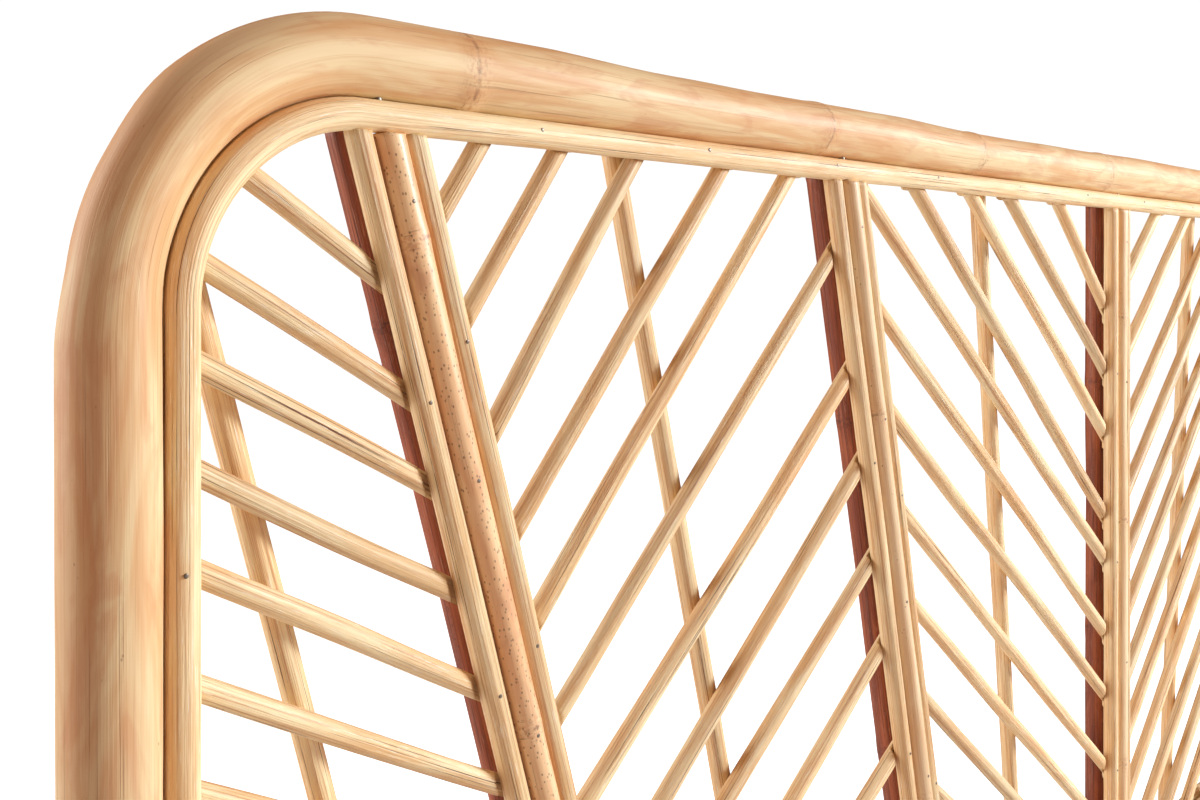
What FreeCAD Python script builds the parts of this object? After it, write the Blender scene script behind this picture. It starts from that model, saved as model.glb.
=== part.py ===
"""Rattan headboard: a bent outer pole on two legs, a fan of five ribs and chevron canes between them.

X runs along the width, Y from the front (-) to the back (+), Z up. The origin is on the floor under the
centre rib, half way between the frontmost and the rearmost poles. Millimetres.
"""
import FreeCAD, Part
import math
import os

import Sketcher

Vec = FreeCAD.Vector
UP = Vec(0, 0, 1)
BACKWARD = Vec(0, 1, 0)

doc = FreeCAD.newDocument("rattan_headboard")

# ---------------------------------------------------------------- driving dimensions

SIZES = [
    ("total_height", 1150, "floor to the top of the outer pole"),
    ("leg_spacing", 1818, "between the centre lines of the two legs"),
    ("frame_dia", 37, "outer pole"),
    ("frame_y", -2, "Y of the centre lines of the outer pole and the bottom rail"),
    ("bend_radius", 106, "centre line of the outer pole's bends"),
    ("panel_drop", 655, "top rail centre line down to bottom rail centre line"),
    ("bottom_rail_dia", 32, "bottom rail"),
    ("border_front_dia", 14, "pole that lines the outer pole, in front of the cane ends"),
    ("border_back_dia", 12, "pole that lines the outer pole, behind the cane ends"),
    ("core_dia", 15, "middle pole of the three on the front of a rib"),
    ("side_dia", 12, "outer two poles on the front of a rib"),
    ("rib_back_dia", 17, "pole behind the cane ends of a rib"),
    ("rib_1_back_shift", -7, "how far the back pole lies to the right of rib 1"),
    ("rib_2_back_shift", -1, "how far the back pole lies to the right of rib 2"),
    ("rib_3_back_shift", -2, "how far the back pole lies to the right of the centre rib"),
    ("mid_dia", 12, "thin back pole in the middle of a bay"),
    ("cane_dia", 10.4, "chevron canes"),
    ("tongue_front", -1, "Y of the front of the canes' flattened ends"),
    ("tongue_back", 3.5, "Y of the back of the canes"),
    ("tongue_stop", 4, "a cane's end to the centre line of its rib"),
    ("shoulder_gap", 1.5, "a cane's full thickness to the front pole beside it"),
    ("rib_1_top", 109, "rib 1, from the left leg's centre line, at the top rail"),
    ("rib_1_foot", 299, "rib 1, at the bottom rail"),
    ("rib_2_top", 465.5, "rib 2, at the top rail"),
    ("rib_2_foot", 610, "rib 2, at the bottom rail"),
    ("mid_1_top", 11, "thin pole of bay 1, at the top rail"),
    ("mid_1_foot", 188, "thin pole of bay 1, at the bottom rail"),
    ("mid_2_top", 268.5, "thin pole of bay 2, at the top rail"),
    ("mid_2_foot", 435.5, "thin pole of bay 2, at the bottom rail"),
    ("mid_3_top", 677, "thin pole of bay 3, at the top rail"),
    ("mid_3_foot", 753.5, "thin pole of bay 3, at the bottom rail"),
    ("leg_first", 25.5, "first cane end on a leg, below the top rail's centre line"),
    ("leg_pitch", 41.5, "between cane ends along a leg"),
    ("rib_1_outer_first", 103.5, "first cane end on rib 1 from the leg's side"),
    ("rib_1_inner_first", 90.5, "first cane end on rib 1 from the other side"),
    ("rib_1_pitch", 48.5, "between cane ends along rib 1"),
    ("rib_2_outer_first", -296, "first cane end on rib 2 from rib 1's side, on the rib's line carried upwards"),
    ("rib_2_inner_first", -272.5, "first cane end on rib 2 from the centre's side, on the same line"),
    ("rib_2_pitch", 70.5, "between cane ends along rib 2"),
    ("rib_3_first", 133.5, "first cane end on the centre rib"),
    ("rib_3_pitch", 58.5, "between cane ends along the centre rib"),
    ("fit_gap", 0.15, "between poles that lie side by side"),
    ("scribe", 3, "how far a pole's shaped end reaches past the border's inner edge"),
    ("brad_dia", 1.25, "18-gauge brad"),
    ("brad_length", 25, "brad through a rib's core or the border"),
    ("side_brad_length", 15, "brad through a rib's side pole into a cane's end"),
    ("brad_sink", 0.2, "a brad's head below the pole's surface"),
    ("brad_pitch", 125, "between the brads of one pole"),
    ("core_brad_first", 94, "first brad of a rib's core pole, above the bottom rail's centre line"),
    ("border_brad_first", 75, "first brad of a side of the border, above the same line"),
    ("border_brad_offset", 44, "brad of the border's top nearest to the middle, to the right of it"),
    ("screw_dia", 4.5, "wood screw"),
    ("screw_head_dia", 9, "wood screw"),
    ("screw_length", 70, "wood screw"),
    ("screw_sink", 5, "a screw's head below the pole's surface, under filler"),
    ("bolt_hole_dia", 8.5, "clearance for an M8 bolt through a leg"),
    ("bolt_low", 230, "lower bolt hole above the floor"),
    ("bolt_pitch", 120, "between the two bolt holes of a leg"),
    ("glide_dia", 30, "plastic glide under a leg"),
    ("glide_height", 6, "plastic glide"),
    ("glide_pin_dia", 5, "stub of the glide inside the leg"),
    ("glide_pin_length", 18, "stub of the glide inside the leg"),
]

sheet = doc.addObject("Spreadsheet::Sheet", "Sizes")
for row, (alias, value, meaning) in enumerate(SIZES, start=1):
    sheet.set(f"A{row}", meaning)
    sheet.set(f"B{row}", str(value))
    sheet.setAlias(f"B{row}", alias)
doc.recompute()


def size(alias):
    """The value of one driving dimension."""
    return float(sheet.get(alias))


# ---------------------------------------------------------------- lines that the parts are set out on

half_spacing = size("leg_spacing") / 2
top_rail_z = size("total_height") - size("frame_dia") / 2
bottom_rail_z = top_rail_z - size("panel_drop")
frame_y = size("frame_y")
rib_front_y = size("tongue_front")
cane_y = size("tongue_back") - size("cane_dia") / 2

BORDER_FRONT_Y = "(Sizes.tongue_front - Sizes.border_front_dia / 2)"
BORDER_BACK_Y = "(Sizes.tongue_back + Sizes.border_back_dia / 2)"
border_front_y = size("tongue_front") - size("border_front_dia") / 2
border_back_y = size("tongue_back") + size("border_back_dia") / 2


def nest(big_dia, small_dia, small_y):
    """How far beside a big pole's centre line a small pole lies when it touches it at its own depth."""
    reach = (big_dia + small_dia) / 2 + size("fit_gap")
    return math.sqrt(reach**2 - (small_y - frame_y) ** 2)


def nest_expression(big_alias, small_alias, small_y):
    """The same distance as an expression on the sheet."""
    reach = f"(Sizes.{big_alias} / 2 + Sizes.{small_alias} / 2 + Sizes.fit_gap)"
    return f"sqrt(pow({reach}; 2) - pow({small_y} - Sizes.frame_y; 2))"


front_nest = nest(size("frame_dia"), size("border_front_dia"), border_front_y)
back_nest = nest(size("frame_dia"), size("border_back_dia"), border_back_y)


# how far a blank is carried past the panel before it is trimmed
SPARE = 200

# more than half of the headboard's depth
DEEP = 50


class Line:
    """A straight line in the panel's plane from the bottom rail's height to the top rail's."""

    def __init__(self, top, foot, side):
        self.top = Vec(side * (top - half_spacing), 0, top_rail_z)
        self.foot = Vec(side * (foot - half_spacing), 0, bottom_rail_z)
        self.along = (self.top - self.foot).normalize()
        self.across = Vec(self.along.z, 0, -self.along.x)

    def at_height(self, z):
        share = (z - self.foot.z) / (self.top.z - self.foot.z)
        return self.foot + (self.top - self.foot) * share

    def shifted(self, distance):
        """The two ends of a parallel line at a distance to the right, each carried well past the rails."""
        spare = self.along * SPARE
        offset = self.across * distance
        return self.foot + offset - spare, self.top + offset + spare


def rib_line(number, side):
    return Line(size(f"rib_{number}_top"), size(f"rib_{number}_foot"), side)


def mid_line(number, side):
    return Line(size(f"mid_{number}_top"), size(f"mid_{number}_foot"), side)


LEFT_LEG = Line(0, 0, 1)
RIGHT_LEG = Line(0, 0, -1)
CENTRE = Line(half_spacing, half_spacing, 1)
RIBS = {
    "rib_1": rib_line(1, 1),
    "rib_2": rib_line(2, 1),
    "rib_3": CENTRE,
    "rib_4": rib_line(2, -1),
    "rib_5": rib_line(1, -1),
}
BACK_SHIFTS = {
    "rib_1": size("rib_1_back_shift"),
    "rib_2": size("rib_2_back_shift"),
    "rib_3": size("rib_3_back_shift"),
    "rib_4": -size("rib_2_back_shift"),
    "rib_5": -size("rib_1_back_shift"),
}
MIDS = {
    "mid_pole_1": mid_line(1, 1),
    "mid_pole_2": mid_line(2, 1),
    "mid_pole_3": mid_line(3, 1),
    "mid_pole_4": mid_line(3, -1),
    "mid_pole_5": mid_line(2, -1),
    "mid_pole_6": mid_line(1, -1),
}

# ---------------------------------------------------------------- where the canes lie


class CaneRow:
    """The cane ends along one upright of a bay. laid is how far the first ones sit below even spacing."""

    def __init__(self, upright, first, pitch, laid):
        self.upright = upright
        self.first = size(first)
        self.pitch = size(pitch)
        self.laid = laid

    def end(self, step):
        slip = self.laid[step] if step < len(self.laid) else 0
        return self.upright.at_height(top_rail_z - self.first - self.pitch * step - slip)


class Bay:
    """The space between two uprights: their names, None for a leg, and a row of cane ends on each."""

    def __init__(self, left, right, left_row, right_row, count):
        self.left = left
        self.right = right
        self.left_row = left_row
        self.right_row = right_row
        self.count = count

    def cane(self, step):
        return self.left_row.end(step), self.right_row.end(step)


def leg_row(upright):
    return CaneRow(upright, "leg_first", "leg_pitch", (-7, 1, 1, 0, -3))


def rib_1_outer(upright):
    return CaneRow(upright, "rib_1_outer_first", "rib_1_pitch", (3, 7))


def rib_1_inner(upright):
    return CaneRow(upright, "rib_1_inner_first", "rib_1_pitch", (-1, -2, 3, 0, -3, -4, 0, 5, -2, 3))


def rib_2_outer(upright):
    return CaneRow(upright, "rib_2_outer_first", "rib_2_pitch", (-4, -9, -15, 4, -4, 7, 17, 7, 3, -7))


def rib_2_inner(upright, laid):
    return CaneRow(upright, "rib_2_inner_first", "rib_2_pitch", laid)


def rib_3_row(laid):
    return CaneRow(CENTRE, "rib_3_first", "rib_3_pitch", laid)


BAYS = {
    "canes_bay_1": Bay(None, "rib_1", leg_row(LEFT_LEG), rib_1_outer(RIBS["rib_1"]), 15),
    "canes_bay_2": Bay("rib_1", "rib_2", rib_1_inner(RIBS["rib_1"]), rib_2_outer(RIBS["rib_2"]), 14),
    "canes_bay_3": Bay(
        "rib_2",
        "rib_3",
        rib_2_inner(RIBS["rib_2"], (-71, 2, -14, -9, 0, 7, 7, 5, 2)),
        rib_3_row((-1, -3, -6, 8, -12, -6, -9, -3, -5)),
        13,
    ),
    "canes_bay_4": Bay(
        "rib_3",
        "rib_4",
        rib_3_row((-14, -4, 6, 7, 9, 2, 0, -3, -3)),
        rib_2_inner(RIBS["rib_4"], (-34, -22, -12, -11, -8, -16, -19, -21, -21)),
        13,
    ),
    "canes_bay_5": Bay("rib_4", "rib_5", rib_2_outer(RIBS["rib_4"]), rib_1_inner(RIBS["rib_5"]), 14),
    "canes_bay_6": Bay("rib_5", None, rib_1_outer(RIBS["rib_5"]), leg_row(RIGHT_LEG), 15),
}

# ---------------------------------------------------------------- helpers

nodes = []


def as_node(item, label):
    """Hands an object in as one sub-part."""
    item.Label = label
    nodes.append(item)
    return item


def rod(name, diameter, length, start, direction):
    """A cylinder from start along direction; diameter and length are expressions on the sheet."""
    item = doc.addObject("Part::Cylinder", name)
    item.setExpression("Radius", f"({diameter}) / 2")
    item.setExpression("Height", length)
    item.Placement = FreeCAD.Placement(start, FreeCAD.Rotation(UP, direction))
    return item


def group(name, members):
    item = doc.addObject("Part::Compound", name)
    item.Links = members
    return item


def cut(name, base, tool):
    item = doc.addObject("Part::Cut", name)
    item.Base = base
    item.Tool = tool
    return item


def kept_inside(name, base, tool):
    item = doc.addObject("Part::Common", name)
    item.Base = base
    item.Tool = tool
    return item


def origin_plane(body, role):
    return next(f for f in body.Origin.OriginFeatures if f.Role == role)


def on_plane(body, role, name):
    sketch = body.newObject("Sketcher::SketchObject", name)
    sketch.AttachmentSupport = (origin_plane(body, role), [""])
    sketch.MapMode = "FlatFace"
    return sketch


def arch_edges(sketch, half_width, base, top, radius):
    """Up one side, round a bend, across, round a bend and down: five edges, tangent to each other."""
    # a first guess, which the measures below then drive
    x, low, high, bend = 100, 0, 100, 20
    sketch.addGeometry(Part.LineSegment(Vec(-x, low, 0), Vec(-x, high - bend, 0)))
    left_bend = Part.Circle(Vec(bend - x, high - bend, 0), UP, bend)
    sketch.addGeometry(Part.ArcOfCircle(left_bend, math.pi / 2, math.pi))
    sketch.addGeometry(Part.LineSegment(Vec(bend - x, high, 0), Vec(x - bend, high, 0)))
    right_bend = Part.Circle(Vec(x - bend, high - bend, 0), UP, bend)
    sketch.addGeometry(Part.ArcOfCircle(right_bend, 0, math.pi / 2))
    sketch.addGeometry(Part.LineSegment(Vec(x, high - bend, 0), Vec(x, low, 0)))
    rules = [
        ("Tangent", 0, 2, 1, 2),
        ("Tangent", 1, 1, 2, 1),
        ("Tangent", 2, 2, 3, 2),
        ("Tangent", 3, 1, 4, 1),
        ("Vertical", 0),
        ("Horizontal", 2),
        ("Vertical", 4),
        ("Symmetric", 0, 1, 4, 2, -2),
        ("Equal", 1, 3),
    ]
    for rule in rules:
        sketch.addConstraint(Sketcher.Constraint(*rule))
    measures = [
        ("width", ("DistanceX", 0, 1, 4, 2, 2.0 * x), f"2 * ({half_width})"),
        ("top", ("DistanceY", -1, 1, 2, 1, float(high)), top),
        ("bend", ("Radius", 1, float(bend)), radius),
    ]
    for label, rule, expression in measures:
        index = sketch.addConstraint(Sketcher.Constraint(*rule))
        sketch.renameConstraint(index, label)
        sketch.setExpression(f"Constraints.{label}", expression)
    index = sketch.addConstraint(Sketcher.Constraint("DistanceY", -1, 1, 0, 1, 10.0))
    sketch.renameConstraint(index, "base")
    sketch.setExpression("Constraints.base", base)


def arch(name, diameter, half_width, base, top, radius, depth):
    """A pole bent into an arch, swept along a sketch in the panel's plane."""
    body = doc.addObject("PartDesign::Body", name)
    path = on_plane(body, "XZ_Plane", f"{name}_path")
    arch_edges(path, half_width, base, top, radius)
    section = on_plane(body, "XY_Plane", f"{name}_section")
    section.addGeometry(Part.Circle(Vec(-100, 0, 0), UP, 5))
    rules = [
        ("middle", ("DistanceX", 0, 3, -1, 1, 100.0), half_width),
        ("across", ("Diameter", 0, 10.0), diameter),
    ]
    section.addConstraint(Sketcher.Constraint("PointOnObject", 0, 3, -1))
    for label, rule, expression in rules:
        index = section.addConstraint(Sketcher.Constraint(*rule))
        section.renameConstraint(index, label)
        section.setExpression(f"Constraints.{label}", expression)
    section.setExpression(".AttachmentOffset.Base.z", base)
    doc.recompute()
    sweep = body.newObject("PartDesign::AdditivePipe", f"{name}_pipe")
    sweep.Profile = section
    sweep.Spine = (path, [f"Edge{n}" for n in range(1, 6)])
    body.Tip = sweep
    body.Placement.Base.y = depth
    return body


# ---------------------------------------------------------------- frame and rails

TOP_RAIL_Z = "(Sizes.total_height - Sizes.frame_dia / 2)"
BOTTOM_RAIL_Z = f"({TOP_RAIL_Z} - Sizes.panel_drop)"

frame_pole = arch(
    "frame_pole",
    "Sizes.frame_dia",
    "Sizes.leg_spacing / 2",
    "Sizes.glide_height",
    TOP_RAIL_Z,
    "Sizes.bend_radius",
    frame_y,
)

rail_start = Vec(-half_spacing, frame_y, bottom_rail_z)
rail_blank = rod("rail_blank", "Sizes.bottom_rail_dia", "Sizes.leg_spacing", rail_start, Vec(1, 0, 0))


def border(name, dia_alias, depth_expression, depth):
    """The pole that lines the inside of the arch, on the front or on the back of the cane ends.

    Its feet start inside the bottom rail's round and are scribed to it.
    """
    beside = nest_expression("frame_dia", dia_alias, depth_expression)
    blank = arch(
        f"{name}_blank",
        f"Sizes.{dia_alias}",
        f"Sizes.leg_spacing / 2 - {beside}",
        f"{BOTTOM_RAIL_Z} + Sizes.bottom_rail_dia / 4",
        f"{TOP_RAIL_Z} - {beside}",
        f"Sizes.bend_radius - {beside}",
        depth,
    )
    return cut(f"{name}_scribed", blank, rail_blank)


border_front = border("border_front", "border_front_dia", BORDER_FRONT_Y, border_front_y)
border_back = border("border_back", "border_back_dia", BORDER_BACK_Y, border_back_y)


def lower_border(name, dia_alias, depth, arch_border):
    """The straight pole that closes the border along the top of the bottom rail."""
    above = nest(size("bottom_rail_dia"), size(dia_alias), depth)
    start = Vec(-half_spacing, depth, bottom_rail_z + above)
    blank = rod(f"{name}_blank", f"Sizes.{dia_alias}", "Sizes.leg_spacing", start, Vec(1, 0, 0))
    beside = nest(size("frame_dia"), size(dia_alias), depth)
    inner = doc.addObject("Part::Box", f"{name}_room")
    inner.Length = 2 * (half_spacing - beside)
    inner.Width = 2 * DEEP
    inner.Height = 2 * DEEP
    inner.Placement.Base = Vec(beside - half_spacing, -DEEP, bottom_rail_z)
    return cut(f"{name}_scribed", kept_inside(f"{name}_length", blank, inner), arch_border)


lower_front = lower_border("lower_front", "border_front_dia", border_front_y, border_front)
lower_back = lower_border("lower_back", "border_back_dia", border_back_y, border_back)
doc.recompute()

# ---------------------------------------------------------------- the opening inside the border


def opening(beside, above_rail, grow):
    """A face in the XZ plane: the space inside an arch border, with its edges moved out by grow."""
    half = half_spacing - beside + grow
    high = top_rail_z - beside + grow
    low = bottom_rail_z + above_rail - grow
    bend = size("bend_radius") - beside + grow
    slant = bend * math.sqrt(0.5)
    left, right = bend - half, half - bend
    shoulder = high - bend
    edges = [
        Part.LineSegment(Vec(-half, 0, low), Vec(-half, 0, shoulder)),
        Part.Arc(Vec(-half, 0, shoulder), Vec(left - slant, 0, shoulder + slant), Vec(left, 0, high)),
        Part.LineSegment(Vec(left, 0, high), Vec(right, 0, high)),
        Part.Arc(Vec(right, 0, high), Vec(right + slant, 0, shoulder + slant), Vec(half, 0, shoulder)),
        Part.LineSegment(Vec(half, 0, shoulder), Vec(half, 0, low)),
        Part.LineSegment(Vec(half, 0, low), Vec(-half, 0, low)),
    ]
    return Part.Face(Part.Wire([edge.toShape() for edge in edges]))


def slab(face, low_y, high_y):
    """A face in the XZ plane made into a solid between two depths."""
    lifted = face.copy()
    lifted.translate(Vec(0, low_y, 0))
    return lifted.extrude(Vec(0, high_y - low_y, 0))


def room(name, beside, dia_alias, depth):
    """The solid that trims the poles of one layer a little past the border's inner edge."""
    inner_edge = beside + size(dia_alias) / 2
    above = nest(size("bottom_rail_dia"), size(dia_alias), depth) + size(dia_alias) / 2
    item = doc.addObject("Part::Feature", name)
    item.Shape = slab(opening(inner_edge, above, size("scribe")), -DEEP, DEEP)
    return item


front_room = room("front_room", front_nest, "border_front_dia", border_front_y)
back_room = room("back_room", back_nest, "border_back_dia", border_back_y)
front_borders = group("front_borders", [border_front, lower_front])
back_borders = group("back_borders", [border_back, lower_back])

# ---------------------------------------------------------------- fasteners

# a rib's side brads stay this far from the rails' centre lines
SIDE_BRAD_MARGIN = 50


def crossing(first_start, first_end, second_start, second_end):
    """Where two lines in the panel's plane cross."""
    first, second = first_end - first_start, second_end - second_start
    away = second_start - first_start
    share = (away.x * second.z - away.z * second.x) / (first.x * second.z - first.z * second.x)
    return first_start + first * share


def brad(name, x, z, front_y, length_alias):
    """A brad driven straight back, with its head at front_y."""
    return rod(name, "Sizes.brad_dia", f"Sizes.{length_alias}", Vec(x, front_y, z), BACKWARD)


side_spread = (size("core_dia") + size("side_dia")) / 2 + size("fit_gap")


def core_brads(name, line):
    """Brads through a rib's core pole into its back pole."""
    front_y = rib_front_y - size("core_dia") + size("brad_sink")
    pitch = size("brad_pitch")
    made = []
    for step in range(int(size("panel_drop") / pitch)):
        point = line.at_height(bottom_rail_z + size("core_brad_first") + pitch * step)
        made.append(brad(f"{name}_core_brad_{step}", point.x, point.z, front_y, "brad_length"))
    return made


def side_brads(name, line, bay_label, place):
    """Brads through a rib's side pole into every third cane end of the bay on that side."""
    bay = BAYS[bay_label]
    front_y = rib_front_y - size("side_dia") + size("brad_sink")
    side_start, side_end = line.shifted(place * side_spread)
    made = []
    for step in range(1, bay.count, 3):
        start, end = bay.cane(step)
        point = crossing(side_start, side_end, start, end)
        if bottom_rail_z + SIDE_BRAD_MARGIN < point.z < top_rail_z - SIDE_BRAD_MARGIN:
            made.append(brad(f"{name}_{bay_label}_brad_{step}", point.x, point.z, front_y, "side_brad_length"))
    return made


def rib_brads(name, line):
    """The brads of one rib."""
    made = core_brads(name, line)
    for label, bay in BAYS.items():
        if bay.right == name:
            made += side_brads(name, line, label, -1)
        if bay.left == name:
            made += side_brads(name, line, label, 1)
    return group(f"{name}_brads", made)


def border_brads():
    """Brads through the front border into the back one, along both sides and the top."""
    beside = (front_nest + back_nest) / 2
    front_y = border_front_y - size("border_front_dia") / 2 + size("brad_sink")
    pitch = size("brad_pitch")
    places = []
    for step in range(int((size("panel_drop") - size("bend_radius")) / pitch)):
        for side in (-1, 1):
            height = bottom_rail_z + size("border_brad_first") + pitch * step
            places.append((side * (half_spacing - beside), height))
    across = int((half_spacing - size("bend_radius")) / pitch)
    for step in range(-across, across + 1):
        places.append((size("border_brad_offset") + pitch * step, top_rail_z - beside))
    made = []
    for index, (x, z) in enumerate(places):
        made.append(brad(f"border_brad_{index}", x, z, front_y, "brad_length"))
    return group("border_brads", made)


def screw(name, seat, direction, length):
    """A countersunk wood screw with its head's face at seat, pointing along direction."""
    shank = rod(f"{name}_shank", "Sizes.screw_dia", length, seat, direction)
    head = doc.addObject("Part::Cone", f"{name}_head")
    head.setExpression("Radius1", "Sizes.screw_head_dia / 2")
    head.setExpression("Radius2", "Sizes.screw_dia / 2")
    head.setExpression("Height", "(Sizes.screw_head_dia - Sizes.screw_dia) / 2")
    head.Placement = shank.Placement
    item = doc.addObject("Part::Fuse", name)
    item.Base = shank
    item.Tool = head
    return item


def rail_screws():
    """One long screw through each leg into the end of the bottom rail."""
    made = []
    for side, name in ((-1, "left"), (1, "right")):
        seat = Vec(side * (half_spacing + size("frame_dia") / 2 - size("screw_sink")), frame_y, bottom_rail_z)
        made.append(screw(f"{name}_rail_screw", seat, Vec(-side, 0, 0), "Sizes.screw_length"))
    return group("rail_screws", made)


def rib_screws():
    """A screw through the top rail and one through the bottom rail into each rib's core pole.

    They run where the border touches the rail, so that no screw shows between the two.
    """
    made = []
    touch = size("frame_dia") / (size("frame_dia") + size("border_front_dia"))
    depth = frame_y + (border_front_y - frame_y) * touch
    for name, line in RIBS.items():
        for end, rail_z, rail_dia, toward in (
            ("top", top_rail_z, size("frame_dia"), -1),
            ("foot", bottom_rail_z, size("bottom_rail_dia"), 1),
        ):
            rise = math.sqrt((rail_dia / 2) ** 2 - (depth - frame_y) ** 2) - size("screw_sink")
            seat = line.at_height(rail_z - toward * rise)
            seat.y = depth
            direction = line.along * toward
            made.append(screw(f"{name}_{end}_screw", seat, direction, "Sizes.screw_length"))
    return group("rib_screws", made)


border_pins = border_brads()
rail_pins = rail_screws()
rib_pins = rib_screws()
doc.recompute()

# ---------------------------------------------------------------- ribs


def pole_on(line, name, dia_alias, sideways, depth):
    """A straight blank pole along a line, longer than the panel at both ends."""
    start, end = line.shifted(sideways)
    start.y = end.y = depth
    length = f"Sizes.panel_drop + {(end - start).Length - size('panel_drop')}"
    return rod(f"{name}_blank", f"Sizes.{dia_alias}", length, start, line.along)


def fitted(name, blank, trim, borders, pins):
    """A blank trimmed to the panel, scribed to the borders and drilled for its fasteners."""
    trimmed = kept_inside(f"{name}_trimmed", blank, trim)
    scribed = cut(f"{name}_scribed", trimmed, borders)
    return as_node(cut(f"{name}_drilled", scribed, pins), name)


rib_pin_groups = []
for rib, line in RIBS.items():
    pins = rib_brads(rib, line)
    rib_pin_groups.append(pins)
    all_pins = group(f"{rib}_pins", [pins, rib_pins])
    for place, part, dia_alias in (
        (-1, "left_pole", "side_dia"),
        (0, "core_pole", "core_dia"),
        (1, "right_pole", "side_dia"),
    ):
        depth = rib_front_y - size(dia_alias) / 2
        blank = pole_on(line, f"{rib}_{part}", dia_alias, place * side_spread, depth)
        fitted(f"{rib}_{part}", blank, front_room, front_borders, all_pins)
    depth = size("tongue_back") + size("rib_back_dia") / 2
    blank = pole_on(line, f"{rib}_back_pole", "rib_back_dia", BACK_SHIFTS[rib], depth)
    fitted(f"{rib}_back_pole", blank, back_room, back_borders, all_pins)

for mid, line in MIDS.items():
    depth = size("tongue_back") + size("mid_dia") / 2
    blank = pole_on(line, mid, "mid_dia", 0, depth)
    trimmed = kept_inside(f"{mid}_trimmed", blank, back_room)
    as_node(cut(f"{mid}_scribed", trimmed, back_borders), mid)

# ---------------------------------------------------------------- canes

all_brads = group("all_brads", rib_pin_groups + [border_pins])
doc.recompute()


def bay_face(left, right, inset):
    """The four-sided face between two ribs, inset from each rib's line; None stands for a leg."""
    corners = list(LEFT_LEG.shifted(-SPARE) if left is None else left.shifted(inset))
    corners += reversed(RIGHT_LEG.shifted(SPARE) if right is None else right.shifted(-inset))
    return Part.Face(Part.makePolygon(corners + corners[:1]))


def cane_room(left, right):
    """Where a bay's canes may be: the clear opening, and behind the front poles as thin tongues."""
    above_front = nest(size("bottom_rail_dia"), size("border_front_dia"), border_front_y)
    front_half = side_spread + size("side_dia") / 2 + size("shoulder_gap")
    edge = size("border_front_dia") / 2
    border_room = opening(front_nest + edge, above_front + edge, -size("shoulder_gap"))
    clear = bay_face(left, right, front_half).common(border_room)
    hidden = bay_face(left, right, size("tongue_stop")).common(opening(front_nest, above_front, 0))
    return slab(clear, -DEEP, size("tongue_front")).fuse(slab(hidden, size("tongue_front"), DEEP))


def cane(start, end):
    """A cane's full cylinder, carried past both of its uprights."""
    direction = (end - start).normalize()
    base = start - direction * SPARE
    base.y = cane_y
    return Part.makeCylinder(size("cane_dia") / 2, (end - start).Length + 2 * SPARE, base, direction)


# an offcut shorter than this isn't fitted
SHORTEST_CANE = 45

for label, bay in BAYS.items():
    place = cane_room(RIBS.get(bay.left), RIBS.get(bay.right))
    solids = []
    for step in range(bay.count):
        for solid in cane(*bay.cane(step)).common(place).Solids:
            if solid.BoundBox.DiagonalLength > SHORTEST_CANE:
                solids += solid.cut(all_brads.Shape).Solids
    item = doc.addObject("Part::Feature", label)
    item.Shape = Part.makeCompound(solids)
    item.Placement = FreeCAD.Placement()
    as_node(item, label)

# ---------------------------------------------------------------- finished frame, fasteners and feet


def bolt_holes():
    """Two holes through each leg, front to back, for fixing to a bed frame or wall battens."""
    made = []
    for side in (-1, 1):
        for step in range(2):
            height = size("bolt_low") + step * size("bolt_pitch")
            start = Vec(side * half_spacing, frame_y - size("frame_dia"), height)
            name = f"bolt_hole_{side + 1}_{step}"
            made.append(rod(name, "Sizes.bolt_hole_dia", "2 * Sizes.frame_dia", start, BACKWARD))
    return group("bolt_holes", made)


def glide(name, x):
    """A plastic foot with a stub that is pressed into the leg."""
    foot = rod(f"{name}_disc", "Sizes.glide_dia", "Sizes.glide_height", Vec(x, frame_y, 0), UP)
    stub_length = "Sizes.glide_height + Sizes.glide_pin_length"
    stub = rod(f"{name}_stub", "Sizes.glide_pin_dia", stub_length, Vec(x, frame_y, 0), UP)
    item = doc.addObject("Part::Fuse", f"{name}_solid")
    item.Base = foot
    item.Tool = stub
    return as_node(item, name)


left_glide = glide("left_foot_glide", -half_spacing)
right_glide = glide("right_foot_glide", half_spacing)
frame_tools = group("frame_tools", [bolt_holes(), rail_pins, rib_pins, left_glide, right_glide])
as_node(cut("frame_drilled", frame_pole, frame_tools), "outer_frame_pole")
rail_tools = group("rail_tools", [rail_pins, rib_pins, frame_pole])
as_node(cut("rail_drilled", rail_blank, rail_tools), "bottom_rail")
border_tools = group("border_tools", [border_pins, rib_pins])
as_node(cut("border_front_drilled", border_front, border_tools), "front_border_pole")
as_node(cut("border_back_drilled", border_back, border_tools), "back_border_pole")
as_node(cut("lower_front_drilled", lower_front, border_tools), "lower_front_border_pole")
as_node(cut("lower_back_drilled", lower_back, border_tools), "lower_back_border_pole")
as_node(group("rib_brads", rib_pin_groups), "rib_brads")
as_node(border_pins, "border_brads")
as_node(rail_pins, "rail_screws")
as_node(rib_pins, "rib_screws")
doc.recompute()

# ---------------------------------------------------------------- checks and files

for item in doc.Objects:
    bad = {"Invalid", "Error"} & set(item.State)
    assert not bad, f"{item.Name}: {item.State}"
for item in nodes:
    assert not item.Shape.isNull() and item.Shape.isValid(), f"{item.Label} has no valid shape"
    assert item.Shape.Solids, f"{item.Label} has no solid"

os.makedirs("parts", exist_ok=True)
for item in nodes:
    item.Shape.exportStep(f"parts/{item.Label}.step")
    print(item.Label, len(item.Shape.Solids), round(item.Shape.Volume))
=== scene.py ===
"""Looks of the rattan headboard: every pole and cane as a natural stick laid on its CAD solid.

Metres, in the CAD's frame: X along the width, -Y is the front, Z up.
"""

import math

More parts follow.
